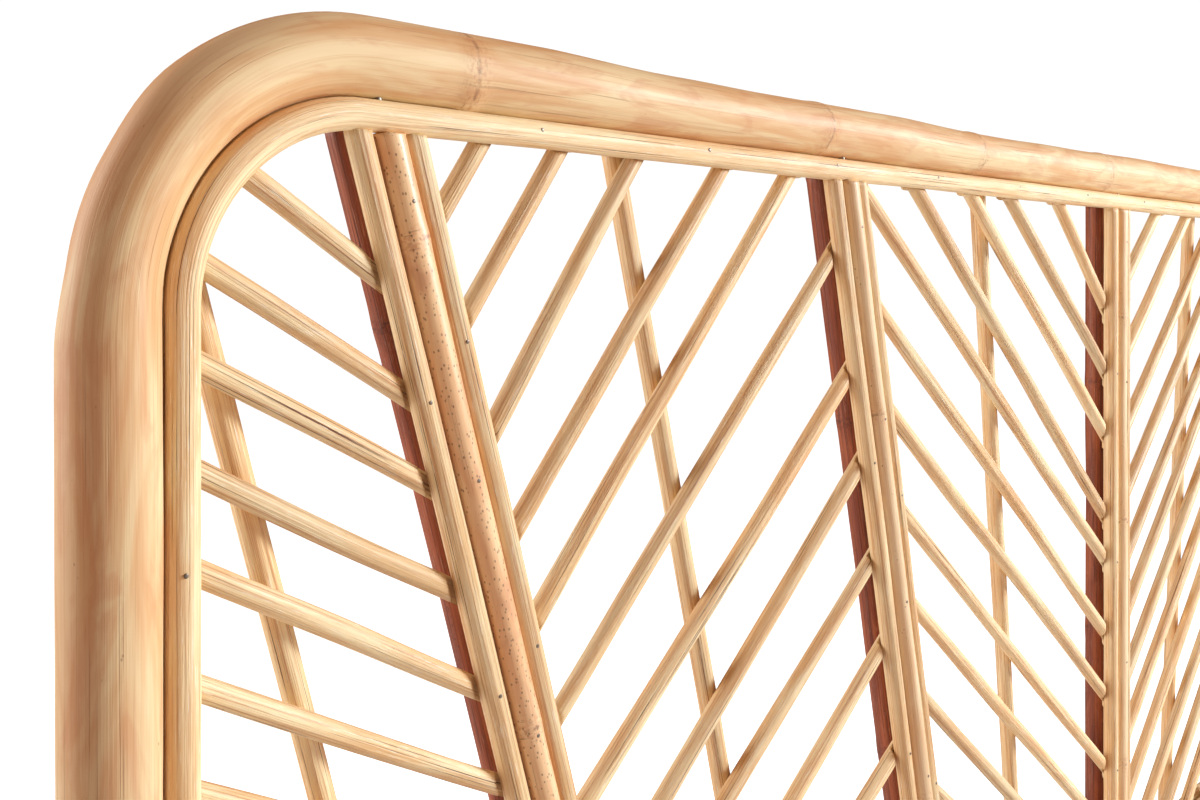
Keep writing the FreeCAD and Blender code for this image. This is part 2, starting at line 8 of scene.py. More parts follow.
import bpy
import numpy as np
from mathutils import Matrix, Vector


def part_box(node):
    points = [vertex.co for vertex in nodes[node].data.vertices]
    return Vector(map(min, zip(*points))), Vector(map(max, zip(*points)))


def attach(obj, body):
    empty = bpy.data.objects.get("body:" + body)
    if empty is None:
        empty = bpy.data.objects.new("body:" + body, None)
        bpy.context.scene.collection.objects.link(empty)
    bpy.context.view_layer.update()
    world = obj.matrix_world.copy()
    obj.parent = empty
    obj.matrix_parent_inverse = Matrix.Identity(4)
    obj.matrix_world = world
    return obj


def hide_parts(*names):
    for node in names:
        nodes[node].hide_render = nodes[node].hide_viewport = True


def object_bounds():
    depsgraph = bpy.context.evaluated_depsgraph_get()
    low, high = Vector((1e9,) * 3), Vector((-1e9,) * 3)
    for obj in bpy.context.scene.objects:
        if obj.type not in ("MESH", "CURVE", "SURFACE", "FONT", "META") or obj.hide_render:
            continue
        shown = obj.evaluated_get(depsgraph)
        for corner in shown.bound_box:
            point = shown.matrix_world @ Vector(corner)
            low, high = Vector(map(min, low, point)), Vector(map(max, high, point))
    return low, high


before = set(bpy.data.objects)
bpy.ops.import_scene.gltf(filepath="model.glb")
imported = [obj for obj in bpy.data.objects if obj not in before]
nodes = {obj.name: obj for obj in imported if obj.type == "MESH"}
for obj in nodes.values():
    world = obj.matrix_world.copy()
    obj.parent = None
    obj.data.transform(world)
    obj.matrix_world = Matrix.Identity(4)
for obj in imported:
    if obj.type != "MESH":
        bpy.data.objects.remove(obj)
cad_box = [list(corner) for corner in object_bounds()]
MM = 0.001
random = np.random.default_rng(41)

# ---------------------------------------------------------------- what the CAD says

# centre line of the outer pole's bends
BEND_RADIUS = 106 * MM
RIBS = [f"rib_{n}" for n in range(1, 6)]
# ribs whose core still has its dark flecked skin
FLECKED_RIBS = ("rib_1", "rib_5")
BAYS = [f"canes_bay_{n}" for n in range(1, 7)]
MIDS = [f"mid_pole_{n}" for n in range(1, 7)]


# decimals of a metre to which two vertices have to agree to be one
MICRON_DIGITS = 6


def solids(node):
    """The vertices of each separate solid of a CAD node."""
    mesh = nodes[node].data
    co = np.array([v.co for v in mesh.vertices])
    keys, index = np.unique(np.round(co, MICRON_DIGITS), axis=0, return_inverse=True)
    index = index.reshape(-1)
    leader = np.arange(len(keys))

    def find(i):
        while leader[i] != i:
            leader[i] = leader[leader[i]]
            i = leader[i]
        return i

    for face in mesh.polygons:
        corners = [find(index[v]) for v in face.vertices]
        for other in corners[1:]:
            leader[find(other)] = find(corners[0])
    roots = np.array([find(i) for i in range(len(keys))])
    return [keys[roots == root] for root in np.unique(roots)]


class Straight:
    """The centre line, length and radius of a straight solid that lies in a plane of constant Y."""

    # a line runs upwards; one that is nearly level runs to the right
    RIGHTWARD = 0.3

    def __init__(self, points):
        flat = points[:, [0, 2]]
        middle = (flat.min(0) + flat.max(0)) / 2
        along = np.linalg.svd(flat - flat.mean(0), full_matrices=False)[2][0]
        if along[1] + self.RIGHTWARD * along[0] < 0:
            along = -along
        across = np.array([-along[1], along[0]])
        run, side = (flat - middle) @ along, (flat - middle) @ across
        centre = middle + across * (side.min() + side.max()) / 2
        low, high = points[:, 1].min(), points[:, 1].max()
        self.radius = (high - low) / 2
        self.y = (low + high) / 2
        self.along = np.array([along[0], 0, along[1]])
        self.across = np.array([across[0], 0, across[1]])
        start = centre + along * run.min()
        self.start = np.array([start[0], self.y, start[1]])
        self.length = run.max() - run.min()

    def at(self, run):
        return self.start + np.outer(run, self.along)

    def tangents(self, run):
        return np.repeat(self.along[None], len(run), 0)


class Arch:
    """An arch's centre line: up a side, round a bend, across, round a bend and down."""

    def __init__(self, low, high, outer_half):
        self.radius = (high.y - low.y) / 2
        self.y = (high.y + low.y) / 2
        self.half = (high.x - low.x) / 2 - self.radius
        self.top = high.z - self.radius
        self.base = low.z
        self.bend = BEND_RADIUS - (outer_half - self.half)
        self.side = self.top - self.bend - self.base
        self.quarter = self.bend * math.pi / 2
        self.across = 2 * (self.half - self.bend)
        self.length = 2 * self.side + 2 * self.quarter + self.across

    def turn(self, run):
        """The angle turned through so far, 0 to pi."""
        first = np.clip((run - self.side) / self.bend, 0, math.pi / 2)
        second = np.clip((run - self.side - self.quarter - self.across) / self.bend, 0, math.pi / 2)
        return first + second

    def at(self, run):
        up = np.clip(run, None, self.side)
        turned = self.turn(run)
        over = np.clip(run - self.side - self.quarter, 0, self.across)
        down = np.clip(run - self.length + self.side, 0, None)
        first = np.clip(turned, 0, math.pi / 2)
        second = np.clip(turned - math.pi / 2, 0, math.pi / 2)
        x = -self.half + self.bend * (1 - np.cos(first)) + over + self.bend * np.sin(second)
        z = self.base + up + self.bend * np.sin(first) - self.bend * (1 - np.cos(second)) - down
        return np.stack([x, np.full_like(x, self.y), z], 1)

    def tangents(self, run):
        turned = self.turn(run)
        return np.stack([np.sin(turned), np.zeros_like(turned), np.cos(turned)], 1)


outer_low, outer_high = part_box("outer_frame_pole")
OUTER_HALF = (outer_high.x - outer_low.x - (outer_high.y - outer_low.y)) / 2
ARCHES = {
    name: Arch(*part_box(name), OUTER_HALF)
    for name in ("outer_frame_pole", "front_border_pole", "back_border_pole")
}
rib_lines = [Straight(solids(f"{rib}_core_pole")[0]) for rib in RIBS]
side_lines = [Straight(solids(f"{rib}_right_pole")[0]) for rib in RIBS]

# ---------------------------------------------------------------- natural sticks


WAVE_LENGTHS = np.array([1.0, 0.57, 0.34, 0.21])
WAVE_HEIGHTS = np.array([0.6, 0.3, 0.16, 0.08])


def wander(scale, amplitude):
    """A smooth random curve of about this wavelength and height, as a function of the run."""
    waves = scale * WAVE_LENGTHS
    weights = amplitude * WAVE_HEIGHTS
    phases = random.uniform(0, 2 * math.pi, len(waves))

    def value(run):
        angles = 2 * math.pi * np.asarray(run)[..., None] / waves + phases
        return (np.sin(angles) * weights).sum(-1)

    return value


class Look:
    """How a kind of pole differs from a perfect bar: joint_gap in metres, other lengths in millimetres."""

    def __init__(self, sides, step, sway, swell, oval, flutes, joints=0.0, joint_gap=0.0):
        self.sides = sides
        self.step = step * MM
        self.sway = sway * MM
        self.swell = swell * MM
        self.oval = oval * MM
        self.flutes = flutes * MM
        self.joints = joints * MM
        self.joint_gap = joint_gap


OUTER = Look(80, step=5, sway=0.5, swell=0.4, oval=0.2, flutes=0.05, joints=0.6, joint_gap=0.25)
BORDER = Look(32, step=6, sway=0.25, swell=0.2, oval=0.15, flutes=0.09)
SIDE = Look(32, step=6, sway=0.5, swell=0.2, oval=0.18, flutes=0.12)
CORE = Look(36, step=6, sway=0.5, swell=0.25, oval=0.15, flutes=0.03, joints=0.35, joint_gap=0.22)
BACK = Look(40, step=8, sway=0.8, swell=0.3, oval=0.3, flutes=0.05, joints=0.4, joint_gap=0.25)
THIN = Look(24, step=8, sway=0.5, swell=0.15, oval=0.15, flutes=0.1)
CANE = Look(26, step=7, sway=0.9, swell=0.2, oval=0.2, flutes=0.12)

# along a stick, in metres: how fast its sideways sway, depth sway, swelling and ovalness change
SWAY_WAVE, DEPTH_WAVE, SWELL_WAVE, OVAL_WAVE, FLUTE_WAVE = 0.5, 0.6, 0.33, 0.4, 0.7
DEPTH_SWAY_SHARE = 0.3
SWELL_TAKEN_OFF = 0.4
USUAL_OVAL, OVAL_CHANGE = 0.6, 0.5
FLUTE_COUNTS = (5, 9, 14)
FLUTE_TURN = 0.25
FLUTE_SHARE = 0.5

# a natural joint: the swelling on both sides of it, the groove round it and how far it leans
BULGE_REACH = 7 * MM
GROOVE_REACH = 0.9 * MM
GROOVE_SHARE = 0.15
SMALLEST_LEAN, LARGEST_LEAN = 0.5 * MM, 2.0 * MM
RIPPLE_SHARE = 0.4

# rings are this far apart near an end, and this far apart at least
FINE_STEP = 1.2 * MM
SMALLEST_STEP = 0.4 * MM
JOINT_ZONE = 12 * MM
JOINT_RINGS = 33
RUN_DIGITS = 5

END_ROUND = 1.2 * MM

# each stick's grain starts at its own place in the pattern
PATTERN_LENGTH = 40


# shares of the usual gap: from a stick's end to its first joint, and from one joint to the next
FIRST_JOINT = (0.3, 0.9)
NEXT_JOINT = (0.75, 1.3)


def joint_places(length, gap):
    """Where a stick's natural joints fall: uneven, about gap apart."""
    places = []
    run = random.uniform(*FIRST_JOINT) * gap
    while gap and run < length:
        places.append(run)
        run += random.uniform(*NEXT_JOINT) * gap
    return np.array(places)


def stations(length, step, end_zone, joints):
    """Where along a stick its rings are: close together at the ends and at its natural joints."""
    runs = [np.linspace(0, length, max(3, int(length / step)))]
    if end_zone:
        zone = min(end_zone, length / 2)
        close = np.arange(0, zone, FINE_STEP)
        runs += [close, length - close]
    for place in joints:
        near = place + np.linspace(-JOINT_ZONE, JOINT_ZONE, JOINT_RINGS)
        runs.append(near[(near > 0) & (near < length)])
    runs = np.unique(np.round(np.concatenate(runs), RUN_DIGITS))
    keep = np.concatenate([[True], np.diff(runs) > SMALLEST_STEP])
    runs = runs[keep]
    runs[-1] = length
    return runs


def build_stick(line, look, joints=None, end_zone=0.0, bow=0.0, shape=None, thinner=None, box=None):
    """One stick's points, quads, grain coordinates and marks. shape may move the finished points.

    Where the stick is thinner it lies against the inner side of its line. It stays inside box.
    """
    if joints is None:
        joints = joint_places(line.length, look.joint_gap)
    run = stations(line.length, look.step, end_zone, joints)
    turns = np.arange(look.sides) * 2 * math.pi / look.sides
    centre, along = line.at(run), line.tangents(run)
    side = np.stack([-along[:, 2], np.zeros(len(run)), along[:, 0]], 1)
    depth = np.array([0.0, 1.0, 0.0])

    held = np.sqrt(np.clip(np.sin(math.pi * run / line.length), 0, 1))
    centre += side * ((wander(SWAY_WAVE, look.sway)(run) + bow) * held)[:, None]
    centre += depth * (wander(DEPTH_WAVE, look.sway * DEPTH_SWAY_SHARE)(run) * held)[:, None]

    radius = line.radius - SWELL_TAKEN_OFF * look.swell + wander(SWELL_WAVE, look.swell)(run)
    if thinner:
        radius -= thinner(run)
        centre -= side * thinner(run)[:, None]
    radius = np.repeat(radius[:, None], look.sides, 1)
    squeezed = np.cos(2 * (turns + random.uniform(0, 3)))
    radius += look.oval * squeezed * (USUAL_OVAL + wander(OVAL_WAVE, OVAL_CHANGE)(run))[:, None]
    for count in FLUTE_COUNTS:
        drift = wander(FLUTE_WAVE, FLUTE_TURN)(run)[:, None]
        radius += look.flutes * FLUTE_SHARE * np.sin(count * (turns + drift) + random.uniform(0, 6))

    ring = np.zeros_like(radius)
    halo = np.zeros_like(radius)
    for place in joints:
        tilt = random.uniform(SMALLEST_LEAN, LARGEST_LEAN)
        lean = tilt * np.sin(turns + random.uniform(0, 6))
        lean += RIPPLE_SHARE * tilt * np.sin(3 * turns + random.uniform(0, 6))
        away = run[:, None] - place - lean
        bulge = np.exp(-((away / BULGE_REACH) ** 2))
        groove = np.exp(-((away / GROOVE_REACH) ** 2))
        radius += look.joints * (bulge - GROOVE_SHARE * groove)
        ring = np.maximum(ring, groove)
        halo = np.maximum(halo, bulge)

    if not shape or end_zone:
        from_end = np.minimum(run, line.length - run)
        rounding = np.sqrt(np.clip(1 - (1 - from_end / END_ROUND) ** 2, 0, 1))
        rounding[from_end > END_ROUND] = 1
        radius -= (END_ROUND * (1 - rounding))[:, None]

    points = centre[:, None] + radius[..., None] * (
        side[:, None] * np.cos(turns)[:, None] + depth * np.sin(turns)[:, None]
    )
    if box:
        over = np.clip(points.max(1) - box[1], 0, None) - np.clip(box[0] - points.min(1), 0, None)
        over[:, 1] = 0
        points -= over[:, None]
        centre -= over
        points = np.clip(points, box[0], box[1])
    if shape:
        points = shape(points)
    count, sides = len(run), look.sides
    ends = centre[[0, -1]]
    if shape:
        ends = shape(ends[:, None])[:, 0]
    points = np.concatenate([points.reshape(-1, 3), ends])

    start = random.uniform(0, PATTERN_LENGTH)
    rows = np.repeat((run + start)[:, None], sides, 1)
    across = [line.radius * np.cos(turns) + 0 * rows, line.radius * np.sin(turns) + 0 * rows]
    grain = np.stack([*across, rows], -1)
    grain = np.concatenate([grain.reshape(-1, 3), [[0, 0, start], [0, 0, start + line.length]]])
    tone = random.uniform(0, 1)
    marks = np.stack([ring, halo, np.full_like(ring, tone)], -1)
    marks = np.concatenate([marks.reshape(-1, 3), [[0, 0, tone], [0, 0, tone]]])

    i = np.arange(count - 1)[:, None] * sides
    j = np.arange(sides)[None]
    k = (j + 1) % sides
    quads = np.stack([i + j, i + sides + j, i + sides + k, i + k], -1).reshape(-1, 4)
    j = j[0]
    k = k[0]
    low, high = count * sides, count * sides + 1
    last = (count - 1) * sides
    fans = [(low, a, b) for a, b in zip(j, k)] + [(high, last + b, last + a) for a, b in zip(j, k)]
    return points, quads, fans, grain, marks


def object_from(name, sticks, material, replaced):
    """One piece made of one or more sticks."""
    points, faces, grain, marks = [], [], [], []
    base = 0
    for stick_points, quads, fans, stick_grain, stick_marks in sticks:
        points.append(stick_points)
        faces += (quads + base).tolist()
        faces += [tuple(int(v) + base for v in fan) for fan in fans]
        grain.append(stick_grain)
        marks.append(stick_marks)
        base += len(stick_points)
    mesh = bpy.data.meshes.new(name)
    mesh.from_pydata(np.concatenate(points).tolist(), [], faces)
    for label, values in (("grain", grain), ("marks", marks)):
        attribute = mesh.attributes.new(label, "FLOAT_VECTOR", "POINT")
        attribute.data.foreach_set("vector", np.concatenate(values).astype(np.float32).ravel())
    mesh.shade_smooth()
    mesh.materials.append(material)
    item = bpy.data.objects.new(name, mesh)
    bpy.context.scene.collection.objects.link(item)
    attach(item, "root")
    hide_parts(*replaced)
    return item


# ---------------------------------------------------------------- material building blocks


def colour(red, green, blue):
    """An sRGB colour, 0 to 255, as linear RGBA."""
    values = []
    for channel in (red, green, blue):
        share = channel / 255
        values.append(share / 12.92 if share <= 0.04045 else ((share + 0.055) / 1.055) ** 2.4)
    return (*values, 1.0)


class Tree:
    """Short names for the shader nodes that the cane materials are built from."""

    def __init__(self, name):
        self.material = bpy.data.materials.new(name)
        self.material.use_nodes = True
        self.tree = self.material.node_tree
        self.tree.nodes.clear()
        self.surface = self.tree.nodes.new("ShaderNodeBsdfPrincipled")
        output = self.tree.nodes.new("ShaderNodeOutputMaterial")
        self.link(self.surface.outputs["BSDF"], output.inputs["Surface"])

    def link(self, output, socket):
        self.tree.links.new(output, socket)

    def feed(self, value, socket):
        if isinstance(value, bpy.types.NodeSocket):
            self.link(value, socket)
        else:
            socket.default_value = value

    def attribute(self, name):
        node = self.tree.nodes.new("ShaderNodeAttribute")
        node.attribute_name = name
        return node.outputs["Vector"]

    def parts(self, vector):
        node = self.tree.nodes.new("ShaderNodeSeparateXYZ")
        self.link(vector, node.inputs[0])
        return node.outputs

    def stretched(self, vector, around, along):
        """Coordinates in cells: how many to a metre around the stick and along it."""
        node = self.tree.nodes.new("ShaderNodeVectorMath")
        node.operation = "MULTIPLY"
        self.link(vector, node.inputs[0])
        node.inputs[1].default_value = (around, around, along)
        return node.outputs[0]

    def noise(self, vector, detail=2.0, roughness=0.5, twist=0.0):
        node = self.tree.nodes.new("ShaderNodeTexNoise")
        self.link(vector, node.inputs["Vector"])
        node.inputs["Scale"].default_value = 1.0
        node.inputs["Detail"].default_value = detail
        node.inputs["Roughness"].default_value = roughness
        node.inputs["Distortion"].default_value = twist
        return node.outputs["Fac"]

    def cells(self, vector):
        node = self.tree.nodes.new("ShaderNodeTexVoronoi")
        self.link(vector, node.inputs["Vector"])
        node.inputs["Scale"].default_value = 1.0
        return node.outputs["Distance"]

    def maths(self, operation, first, second=0.0, clamp=False):
        node = self.tree.nodes.new("ShaderNodeMath")
        node.operation = operation
        node.use_clamp = clamp
        self.feed(first, node.inputs[0])
        self.feed(second, node.inputs[1])
        return node.outputs[0]

    def span(self, value, low, high):
        """0 at low and below, 1 at high and above, smooth between."""
        node = self.tree.nodes.new("ShaderNodeMapRange")
        node.interpolation_type = "SMOOTHSTEP"
        self.link(value, node.inputs["Value"])
        node.inputs["From Min"].default_value = low
        node.inputs["From Max"].default_value = high
        return node.outputs["Result"]

    def mixed(self, share, first, second, blend="MIX"):
        node = self.tree.nodes.new("ShaderNodeMix")
        node.data_type = "RGBA"
        node.blend_type = blend
        self.feed(share, node.inputs["Factor"])
        self.feed(first, node.inputs["A"])
        self.feed(second, node.inputs["B"])
        return node.outputs["Result"]

    def bumped(self, height, distance, strength=1.0):
        node = self.tree.nodes.new("ShaderNodeBump")
        self.link(height, node.inputs["Height"])
        node.inputs["Distance"].default_value = distance
        node.inputs["Strength"].default_value = strength
        self.link(node.outputs["Normal"], self.surface.inputs["Normal"])


# ---------------------------------------------------------------- cane materials


class Finish:
    """Colours and strengths of one kind of cane surface; a strength is 0 to 1."""

    def __init__(self, pale, middle, dark, thread, **strengths):
        self.pale = pale
        self.middle = middle
        self.dark = dark
        self.thread = thread
        self.fibres = strengths.get("fibres", 0.5)
        self.threads = strengths.get("threads", 0.5)
        self.silver_and_glint = strengths.get("silver_and_glint", 0.0)
        self.flecks = strengths.get("flecks", 0.0)
        self.blush = strengths.get("blush", 0.0)
        self.blush_colour = strengths.get("blush_colour", dark)
        self.roughness = strengths.get("roughness", 0.5)
        self.coat = strengths.get("coat", 0.15)
        self.relief = strengths.get("relief", 0.3) * MM


# near-white fibre streaks: the cane's pale fibres, painted brighter as fibre glints, so partly real colour
# and partly painted highlight
SILVER_AND_GLINT = colour(255, 247, 226)
FLECK_STRENGTH = 0.65
MOTTLE_STRENGTH = 0.5
RING_STRENGTH = 0.55
CRACK_STRENGTH = 0.8
DARKEST_TONE, TONE_RANGE = 0.88, 0.22
COAT_ROUGHNESS = 0.3


def cane_material(name, finish):
    """Fibres along the stick, a few dark threads, flecks, marked joints and broad changes of tone."""
    t = Tree(name)
    grain = t.attribute("grain")
    ring, halo, tone = t.parts(t.attribute("marks"))

    def laid_over(base, mask, strength, over):
        return t.mixed(t.maths("MULTIPLY", mask, strength, clamp=True), base, over)

    broad = t.noise(t.stretched(grain, 75, 11), 3, 0.55, 0.8)
    base = t.mixed(t.span(broad, 0.32, 0.68), finish.middle, finish.pale)
    if finish.blush:
        patch = t.noise(t.stretched(grain, 55, 17), 3, 0.6, 1.2)
        base = laid_over(base, t.span(patch, 0.5, 0.66), finish.blush, finish.blush_colour)

    fibres = t.noise(t.stretched(grain, 900, 9), 4, 0.62, 0.3)
    fine = t.noise(t.stretched(grain, 2400, 38), 2, 0.6)
    base = laid_over(base, t.span(fibres, 0.46, 0.68), finish.fibres, finish.dark)
    base = laid_over(base, t.span(fine, 0.52, 0.75), finish.fibres * 0.5, finish.pale)

    where = t.noise(t.stretched(grain, 160, 14), 2, 0.5)
    threads = t.span(t.noise(t.stretched(grain, 1250, 4.5), 1, 0.4), 0.66, 0.71)
    threads = t.maths("MULTIPLY", threads, t.span(where, 0.42, 0.6))
    base = laid_over(base, threads, finish.threads, finish.thread)

    # pale fibre streaks laid in near white: part the fibres' own colour, part painted highlight for their
    # glints
    if finish.silver_and_glint:
        glint_strokes = t.span(t.noise(t.stretched(grain, 2100, 75), 2, 0.6, 0.4), 0.61, 0.67)
        glint_strokes = t.maths("MULTIPLY", glint_strokes, t.span(where, 0.36, 0.5))
        base = laid_over(base, glint_strokes, finish.silver_and_glint, SILVER_AND_GLINT)
    if finish.flecks:
        near = t.cells(t.stretched(grain, 500, 330))
        spot = t.maths("SUBTRACT", 1.0, t.span(near, 0.12, 0.3))
        sparse = 0.68 - 0.34 * finish.flecks
        crowd = t.span(t.noise(t.stretched(grain, 150, 30), 3, 0.6), sparse, sparse + 0.1)
        base = laid_over(base, t.maths("MULTIPLY", spot, crowd), FLECK_STRENGTH, finish.thread)

    mottle = t.span(t.noise(t.stretched(grain, 420, 520), 3, 0.65), 0.46, 0.62)
    base = laid_over(base, t.maths("MULTIPLY", halo, mottle), MOTTLE_STRENGTH, finish.dark)
    broken = t.span(t.noise(t.stretched(grain, 170, 120), 2, 0.6), 0.42, 0.6)
    base = laid_over(base, t.maths("MULTIPLY", ring, broken), RING_STRENGTH, finish.thread)
    cracks = t.span(t.noise(t.stretched(grain, 90, 1500), 2, 0.5), 0.68, 0.72)
    base = laid_over(base, t.maths("MULTIPLY", cracks, halo), CRACK_STRENGTH, finish.thread)

    shade = t.tree.nodes.new("ShaderNodeHueSaturation")
    t.link(base, shade.inputs["Color"])
    t.link(t.maths("ADD", t.maths("MULTIPLY", tone, TONE_RANGE), DARKEST_TONE), shade.inputs["Value"])
    t.link(shade.outputs["Color"], t.surface.inputs["Base Color"])

    rough = t.maths("ADD", t.maths("MULTIPLY", fibres, 0.3), finish.roughness - 0.15)
    t.link(t.maths("ADD", rough, t.maths("MULTIPLY", threads, 0.2)), t.surface.inputs["Roughness"])
    t.surface.inputs["Coat Weight"].default_value = finish.coat
    t.surface.inputs["Coat Roughness"].default_value = COAT_ROUGHNESS
    relief = t.maths("ADD", fibres, t.maths("MULTIPLY", fine, 0.4))
    relief = t.maths("SUBTRACT", relief, t.maths("MULTIPLY", threads, 0.8))
    relief = t.maths("SUBTRACT", relief, t.maths("MULTIPLY", t.maths("MULTIPLY", cracks, halo), 0.8))
    t.bumped(relief, finish.relief)
    return t.material


outer_look = cane_material(
    "outer_cane_look",
    Finish(
        colour(237, 211, 163),
        colour(222, 173, 119),
        colour(194, 129, 84),
        colour(112, 60, 36),
        fibres=0.22,
        threads=0.35,
        flecks=0.12,
        blush=0.36,
        blush_colour=colour(207, 138, 93),
        roughness=0.62,
        coat=0.1,
        relief=0.14,
    ),
)
border_look = cane_material(
    "border_cane_look",
    Finish(
        colour(252, 232, 186),
        colour(240, 200, 144),
        colour(202, 140, 86),
        colour(110, 62, 36),
        fibres=0.5,
        threads=0.9,
        silver_and_glint=0.75,
        roughness=0.5,
        relief=0.7,
    ),
)
peeled_look = cane_material(
    "peeled_cane_look",
    Finish(
        colour(253, 231, 182),
        colour(243, 201, 142),
        colour(200, 132, 78),
        colour(112, 56, 28),
        fibres=0.7,
        threads=0.95,
        silver_and_glint=0.7,
        roughness=0.52,
        relief=0.8,
    ),
)
skin_look = cane_material(
    "skin_cane_look",
    Finish(
        colour(250, 214, 164),
        colour(240, 184, 132),
        colour(208, 138, 90),
        colour(96, 46, 30),
        fibres=0.25,
        threads=0.4,
        flecks=1.0,
        blush=0.45,
        blush_colour=colour(202, 138, 102),
        roughness=0.42,
        coat=0.22,
        relief=0.15,
    ),
)
pale_skin_look = cane_material(
    "pale_skin_cane_look",
    Finish(
        colour(253, 228, 184),
        colour(244, 202, 150),
        colour(210, 150, 100),
        colour(116, 64, 40),
        fibres=0.3,
        threads=0.5,
        silver_and_glint=0.2,
        flecks=0.3,
        roughness=0.44,
        coat=0.22,
        relief=0.3,
    ),
)
# The back poles are the same cane as the rib cores; these dark red-brown colours are painted shade, for the
# shadow that the front poles throw on them
shaded_back_look = cane_material(
    "back_cane_painted_shade_look",
    Finish(
        colour(174, 92, 52),
        colour(130, 58, 30),
        colour(88, 34, 18),
        colour(44, 18, 10),
        fibres=0.8,
        threads=0.9,
        silver_and_glint=0.12,
        flecks=0.4,
        roughness=0.55,
        relief=0.6,
    ),
)


def metal_look():
    t = Tree("steel_look")
    place = t.tree.nodes.new("ShaderNodeTexCoord").outputs["Object"]
    stain = t.noise(t.stretched(place, 1500, 1500), 3, 0.6)
    t.link(t.mixed(stain, colour(88, 74, 62), colour(150, 140, 128)), t.surface.inputs["Base Color"])
    t.surface.inputs["Metallic"].default_value = 1.0
    t.link(t.maths("ADD", t.maths("MULTIPLY", stain, 0.3), 0.28), t.surface.inputs["Roughness"])
    t.bumped(stain, 0.02 * MM)
    return t.material


def plastic_look():
    t = Tree("glide_plastic_look")
    place = t.tree.nodes.new("ShaderNodeTexCoord").outputs["Object"]
    speckle = t.noise(t.stretched(place, 2500, 2500), 2, 0.6)
    scuffs = t.span(t.noise(t.stretched(place, 300, 1400), 3, 0.6), 0.6, 0.72)
    base = t.mixed(speckle, colour(38, 34, 31), colour(58, 53, 49))
    scuffed = t.mixed(t.maths("MULTIPLY", scuffs, 0.5), base, colour(104, 98, 92))
    t.link(scuffed, t.surface.inputs["Base Color"])
    t.surface.inputs["Roughness"].default_value = 0.55
    t.bumped(speckle, 0.1 * MM)
    return t.material


steel_look = metal_look()
glide_look = plastic_look()

# ---------------------------------------------------------------- frame, borders, ribs and back poles

# where the outer pole's natural joints are, in metres along it
arch_joints = np.array([0.31, 0.58, 0.83, 1.24, 1.52, 1.72, 1.95, 2.21, 2.5, 2.76, 3.02, 3.3, 3.56, 3.8])


# how far a pole's shaped end reaches into the border, and how its front slopes back
INTO_BORDER = 1.2 * MM
DEEPEST = 3 * MM
FRONT_SLOPE = 0.22
# a point that slides along its pole meets the border's round after a few steps
SCRIBE_PASSES = 4


def border_reach(points, name):
    """How far each point is inside the edge of an arch border's opening, seen from the front."""
    arch = ARCHES[name]
    bend = arch.bend - arch.radius
    across = np.abs(points[..., 0]) - (arch.half - arch.radius - bend)
    up = points[..., 2] - (arch.top - arch.radius - bend)
    corner = np.hypot(np.clip(across, 0, None), np.clip(up, 0, None)) + np.minimum(np.maximum(across, up), 0)
    floor_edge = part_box(f"lower_{name}")[1].z
    return np.minimum(bend - corner, points[..., 2] - floor_edge)


def scribed(line, name):
    """Cuts a pole's ends to the round of the border that they meet, so that nothing laps over it."""
    arch = ARCHES[name]
    outward = 1 if name.startswith("back") else -1

    def shape(points):
        away = np.clip(outward * (points[..., 1] - arch.y), -arch.radius, arch.radius)
        round_of = arch.radius - np.sqrt(arch.radius**2 - away**2)
        hidden = np.minimum(round_of + INTO_BORDER, DEEPEST)
        depth = np.where(away < 0, hidden, INTO_BORDER - FRONT_SLOPE * away)
        upper = (points - line.at(np.array([line.length / 2]))) @ line.along > 0
        toward = np.where(upper, -1.0, 1.0)
        for _ in range(SCRIBE_PASSES):
            past = np.clip(-depth - border_reach(points, name), 0, None)
            points += (past * toward)[..., None] * line.along
        return points

    return shape


def rises_and_falls(places, sizes):
    """A smooth curve through sizes at places along a stick, as a function of the run."""

    def value(run):
        after = np.clip(np.searchsorted(places, run), 1, len(places) - 1)
        low, high = places[after - 1], places[after]
        share = np.clip((run - low) / (high - low), 0, 1)
        share = share * share * (3 - 2 * share)
        return sizes[after - 1] * (1 - share) + sizes[after] * share

    return value


outer = ARCHES["outer_frame_pole"]
bend_end = outer.side + outer.quarter

# along the outer pole in metres, and how much thinner it is there in millimetres
OUTER_RUNS = [
    (outer.side - 0.014, 0.0),
    (outer.side + 0.016, 1.5),
    (outer.side + 0.052, 1.5),
    (outer.side + 0.09, 0.1),
    (bend_end + 0.1, 0.0),
    (bend_end + 0.2, 0.9),
    (bend_end + 0.42, 1.3),
    (bend_end + 0.54, 1.9),
    (bend_end + 0.7, 1.3),
    (bend_end + 0.86, 0.3),
    (bend_end + 1.1, 0.7),
]
outer_places, outer_sizes = np.array(OUTER_RUNS).T
outer_thinner = rises_and_falls(outer_places, outer_sizes * MM)


def add_pole(name, look, material, slot, **options):
    """One pole in place of its CAD node; against names the border that its ends are shaped to."""
    line = ARCHES[name] if name in ARCHES else Straight(solids(name)[0])
    if "against" in options:
        options["shape"] = scribed(line, options.pop("against"))
    low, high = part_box(name)
    stick = build_stick(line, look, box=(np.array(low), np.array(high)), **options)
    object_from(f"{name}_cane", [stick], material, [name])


